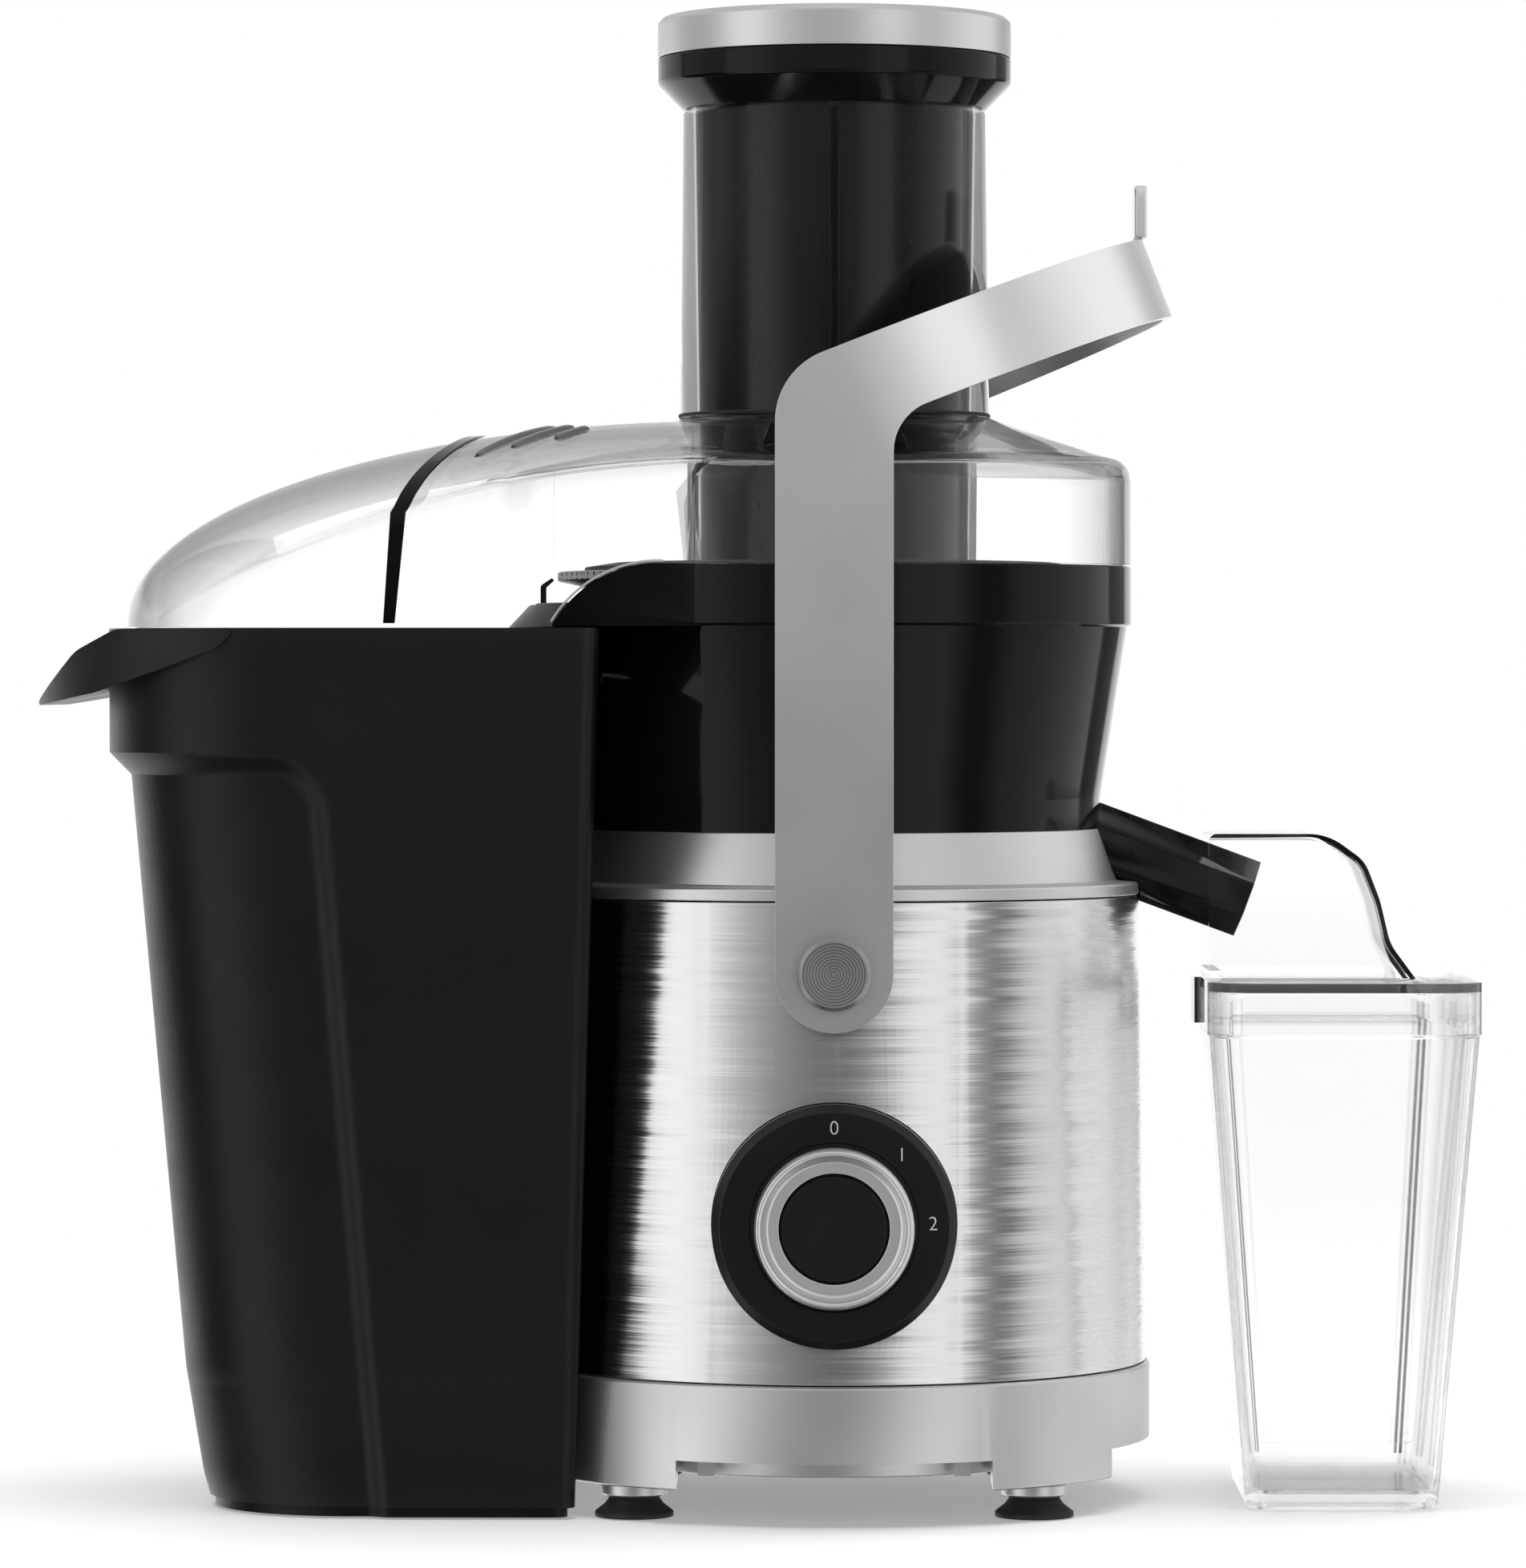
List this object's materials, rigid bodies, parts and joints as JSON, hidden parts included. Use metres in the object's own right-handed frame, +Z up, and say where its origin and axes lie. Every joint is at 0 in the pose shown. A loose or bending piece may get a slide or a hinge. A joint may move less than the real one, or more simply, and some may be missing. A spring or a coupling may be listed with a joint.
{
  "type": "centrifugal juicer",
  "caption": "Upright juicer with a steel motor base, spinning filter basket, clear lid with feed chute and pulp duct, locking arm, pulp bin and lidded juice jug.",
  "frame": {"origin": "centre of the whole object's box at worktop height; the motor axis stands 21.4 mm to its +X side", "axes": "+Z up, -Y to the front with the speed dial, +X towards the juice jug, -X towards the pulp bin"},
  "size_m": [0.4032, 0.204, 0.4141],
  "materials": {
    "brushed_steel": "brushed",
    "satin_silver": "satin",
    "gloss_black": "gloss",
    "matte_black": "fine matte",
    "clear_plastic": "clear",
    "black_rubber": "matte",
    "bright_steel": "bright",
    "copper_wire": "enamelled",
    "circuit_board": "matte",
    "carbon": "matte"
  },
  "bodies": {
    "base": {"steel_sleeve": "brushed_steel", "arm_pivot_front": "brushed_steel", "arm_pivot_rear": "brushed_steel", "base_ring": "satin_silver", "foot_collar_front_left": "satin_silver", "foot_collar_front_right": "satin_silver", "foot_collar_rear_left": "satin_silver", "foot_collar_rear_right": "satin_silver", "top_collar": "satin_silver", "juice_bowl": "gloss_black", "knob_bezel": "gloss_black", "bottom_plate": "matte_black", "motor_deck": "matte_black", "speed_switch": "matte_black", "interlock_switch": "matte_black", "arm_spacer_front": "matte_black", "arm_spacer_rear": "matte_black", "foot_pad_front_left": "black_rubber", "foot_pad_front_right": "black_rubber", "foot_pad_rear_left": "black_rubber", "foot_pad_rear_right": "black_rubber", "motor_mount_1": "black_rubber", "motor_mount_2": "black_rubber", "motor_mount_3": "black_rubber", "power_cord_gland": "black_rubber", "stator_core": "bright_steel", "motor_bracket_bottom": "bright_steel", "motor_bracket_top": "bright_steel", "bearing_bottom": "bright_steel", "bearing_top": "bright_steel", "motor_bolt_left": "bright_steel", "motor_bolt_right": "bright_steel", "field_winding": "copper_wire", "control_board": "circuit_board", "carbon_brush_left": "carbon", "carbon_brush_right": "carbon"},
    "rotor": {"motor_shaft": "bright_steel", "rotor_core": "bright_steel", "commutator": "copper_wire", "cooling_fan": "matte_black", "drive_coupling": "matte_black", "basket_hub": "matte_black", "filter_basket": "bright_steel", "grater_disc": "bright_steel"},
    "lid": {"lid_shell": "clear_plastic", "feed_chute": "clear_plastic", "lid_catch_front": "gloss_black", "lid_catch_rear": "gloss_black", "duct_seam": "black_rubber"},
    "pusher": {"pusher_body": "gloss_black", "pusher_cap": "satin_silver"},
    "arm": {"locking_arm": "satin_silver", "thumb_tab": "satin_silver"},
    "dial": {"knob_ring": "satin_silver", "knob_cap": "gloss_black", "knob_shaft": "matte_black"},
    "bin": {"pulp_bin": "matte_black"},
    "jug": {"jug_body": "clear_plastic", "froth_separator": "clear_plastic"},
    "jug_lid": {"jug_lid": "clear_plastic"}
  },
  "joints": [
    {"name": "rotor_spin", "type": "hinge", "parent": "base", "child": "rotor", "pos_m": [0.0214, 0, 0.19], "axis": [0, 0, 1], "continuous": true},
    {"name": "lid_lift", "type": "slide", "parent": "base", "child": "lid", "axis": [0, 0, 1], "range_m": [0, 0.05]},
    {"name": "pusher_lift", "type": "slide", "parent": "lid", "child": "pusher", "axis": [0, 0, 1], "range_m": [0, 0.16]},
    {"name": "arm_swing", "type": "hinge", "parent": "base", "child": "arm", "pos_m": [0.0214, 0, 0.1497], "axis": [0, 1, 0], "range_deg": [0, 80]},
    {"name": "dial_turn", "type": "hinge", "parent": "base", "child": "dial", "pos_m": [0.0214, -0.102, 0.0817], "axis": [0, 1, 0], "range_deg": [0, 90]},
    {"name": "bin_pull", "type": "slide", "parent": "base", "child": "bin", "axis": [-1, 0, 0], "range_m": [0, 0.15]},
    {"name": "jug_pull", "type": "slide", "parent": "base", "child": "jug", "axis": [-1, 0, 0], "range_m": [-0.12, 0]},
    {"name": "jug_lid_lift", "type": "slide", "parent": "jug", "child": "jug_lid", "axis": [0, 0, 1], "range_m": [0, 0.01]}
  ]
}
